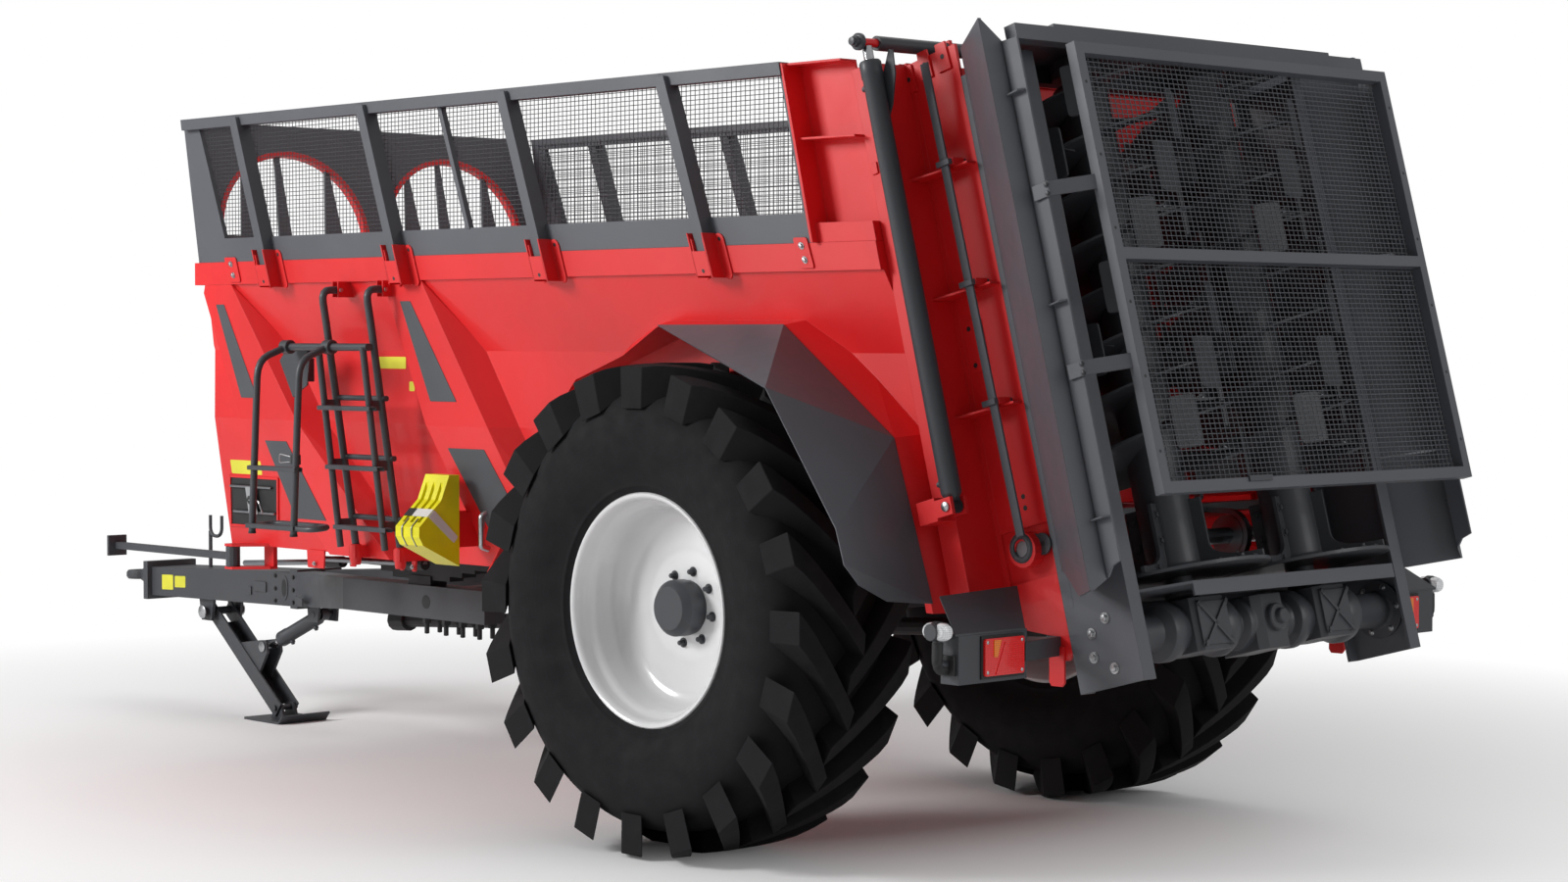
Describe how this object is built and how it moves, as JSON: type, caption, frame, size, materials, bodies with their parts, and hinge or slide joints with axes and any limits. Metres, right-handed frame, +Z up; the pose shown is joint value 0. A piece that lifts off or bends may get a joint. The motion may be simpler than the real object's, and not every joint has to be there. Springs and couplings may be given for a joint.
{
  "type": "manure spreader",
  "caption": "Single-axle manure spreader: hopper with mesh extensions, chain floor, sliding gate and upright beaters, on its parking jack.",
  "frame": {"origin": "on the ground, under the middle of the whole machine's box", "axes": "+X forward to the towing eye, +Y left, +Z up"},
  "size_m": [7.73, 2.804, 2.9649],
  "materials": {
    "red_paint": "semi-gloss",
    "grey_paint": "satin",
    "dark_paint": "satin",
    "white_paint": "gloss",
    "tyre_rubber": "matt",
    "yellow_plastic": "satin",
    "plated_steel": "satin"
  },
  "bodies": {
    "frame": {"axle": "dark_paint", "hopper_side_left": "red_paint", "hopper_side_right": "red_paint", "hopper_front": "red_paint", "hopper_floor": "red_paint", "chain_floor": "dark_paint", "chassis_frame": "red_paint", "drawbar": "dark_paint", "towing_eye": "dark_paint", "drawbar_spring_left": "dark_paint", "drawbar_spring_right": "dark_paint", "gate_barrel_left": "dark_paint", "gate_barrel_right": "dark_paint", "beater_column_left": "grey_paint", "beater_column_right": "grey_paint", "beater_top_beam": "grey_paint", "beater_pan": "grey_paint", "beater_gearboxes": "dark_paint", "end_post_left": "red_paint", "end_post_right": "red_paint", "gate_indicator": "dark_paint", "upper_panel_left": "red_paint", "upper_panel_right": "red_paint", "guard_frame": "grey_paint", "guard_mesh": "grey_paint", "extension_frame_left": "grey_paint", "extension_frame_right": "grey_paint", "extension_mesh_left": "grey_paint", "extension_mesh_right": "grey_paint", "front_screen": "grey_paint", "fender_left": "grey_paint", "fender_right": "grey_paint", "ladder_fixed": "dark_paint", "wheel_chock": "yellow_plastic", "tail_light_left": "dark_paint", "tail_light_right": "dark_paint"},
    "wheel_left": {"tyre_left": "tyre_rubber", "rim_left": "white_paint", "hub_left": "dark_paint"},
    "wheel_right": {"tyre_right": "tyre_rubber", "rim_right": "white_paint", "hub_right": "dark_paint"},
    "beater_left": {"beater_left": "dark_paint", "beater_fan_left": "dark_paint"},
    "beater_right": {"beater_right": "dark_paint", "beater_fan_right": "dark_paint"},
    "chain_shaft": {"chain_shaft": "dark_paint"},
    "drive_shaft": {"drive_shaft": "plated_steel"},
    "gate": {"gate": "red_paint", "gate_rod_left": "plated_steel", "gate_rod_right": "plated_steel"},
    "jack_leg": {"jack_leg": "dark_paint"},
    "jack_foot": {"jack_foot": "dark_paint"},
    "jack_barrel": {"jack_barrel": "dark_paint"},
    "jack_rod": {"jack_rod": "plated_steel"},
    "ladder_fold": {"ladder_fold": "dark_paint"},
    "support_bar": {"support_bar": "dark_paint"}
  },
  "joints": [
    {"name": "wheel_left_spin", "type": "hinge", "parent": "frame", "child": "wheel_left", "pos_m": [-1.785, 1.07, 0.9], "axis": [0, 1, 0], "continuous": true},
    {"name": "wheel_right_spin", "type": "hinge", "parent": "frame", "child": "wheel_right", "pos_m": [-1.785, -1.07, 0.9], "axis": [0, 1, 0], "continuous": true},
    {"name": "beater_left_spin", "type": "hinge", "parent": "frame", "child": "beater_left", "pos_m": [-3.2704, 0.342, 1.89322], "axis": [0.2571, 0, 0.9664], "continuous": true},
    {"name": "beater_right_spin", "type": "hinge", "parent": "frame", "child": "beater_right", "pos_m": [-3.2704, -0.342, 1.89322], "axis": [0.2571, 0, 0.9664], "continuous": true},
    {"name": "chain_shaft_spin", "type": "hinge", "parent": "frame", "child": "chain_shaft", "pos_m": [-3.203, 0, 1.171], "axis": [0, 1, 0], "continuous": true},
    {"name": "drive_shaft_spin", "type": "hinge", "parent": "frame", "child": "drive_shaft", "pos_m": [-3.3906, 0, 0.8592], "axis": [0.9981, 0, -0.0609], "continuous": true},
    {"name": "gate_lift", "type": "slide", "parent": "frame", "child": "gate", "axis": [0.2571, 0, 0.9664], "range_m": [0, 1.15]},
    {"name": "jack_leg_swing", "type": "hinge", "parent": "frame", "child": "jack_leg", "pos_m": [3.015, 0, 0.505], "axis": [0, 1, 0], "range_deg": [0, 15]},
    {"name": "jack_foot_swing", "type": "hinge", "parent": "jack_leg", "child": "jack_foot", "pos_m": [2.45, 0, 0.062], "axis": [0, 1, 0], "range_deg": [-20, 20]},
    {"name": "jack_barrel_swing", "type": "hinge", "parent": "frame", "child": "jack_barrel", "pos_m": [2.115, 0, 0.545], "axis": [0, 1, 0], "range_deg": [-14.2, 1]},
    {"name": "jack_rod_slide", "type": "slide", "parent": "jack_barrel", "child": "jack_rod", "axis": [0.9243, 0, -0.3818], "range_m": [-0.058, 0.002]},
    {"name": "ladder_fold_swing", "type": "hinge", "parent": "frame", "child": "ladder_fold", "pos_m": [0.59, 1.117, 1.85], "axis": [1, 0, 0], "range_deg": [0, 90]},
    {"name": "support_bar_swing", "type": "hinge", "parent": "frame", "child": "support_bar", "pos_m": [1.505, 0.905, 0.905], "axis": [0, 0, 1], "range_deg": [0, 75]}
  ],
  "couplings": [
    {"joint": "beater_right_spin", "follows": "beater_left_spin", "ratio": -1},
    {"joint": "drive_shaft_spin", "follows": "beater_left_spin", "ratio": 2.5},
    {"joint": "jack_barrel_swing", "follows": "jack_leg_swing", "ratio": -0.8797},
    {"joint": "jack_rod_slide", "follows": "jack_leg_swing", "m_per_rad": -0.2131}
  ]
}
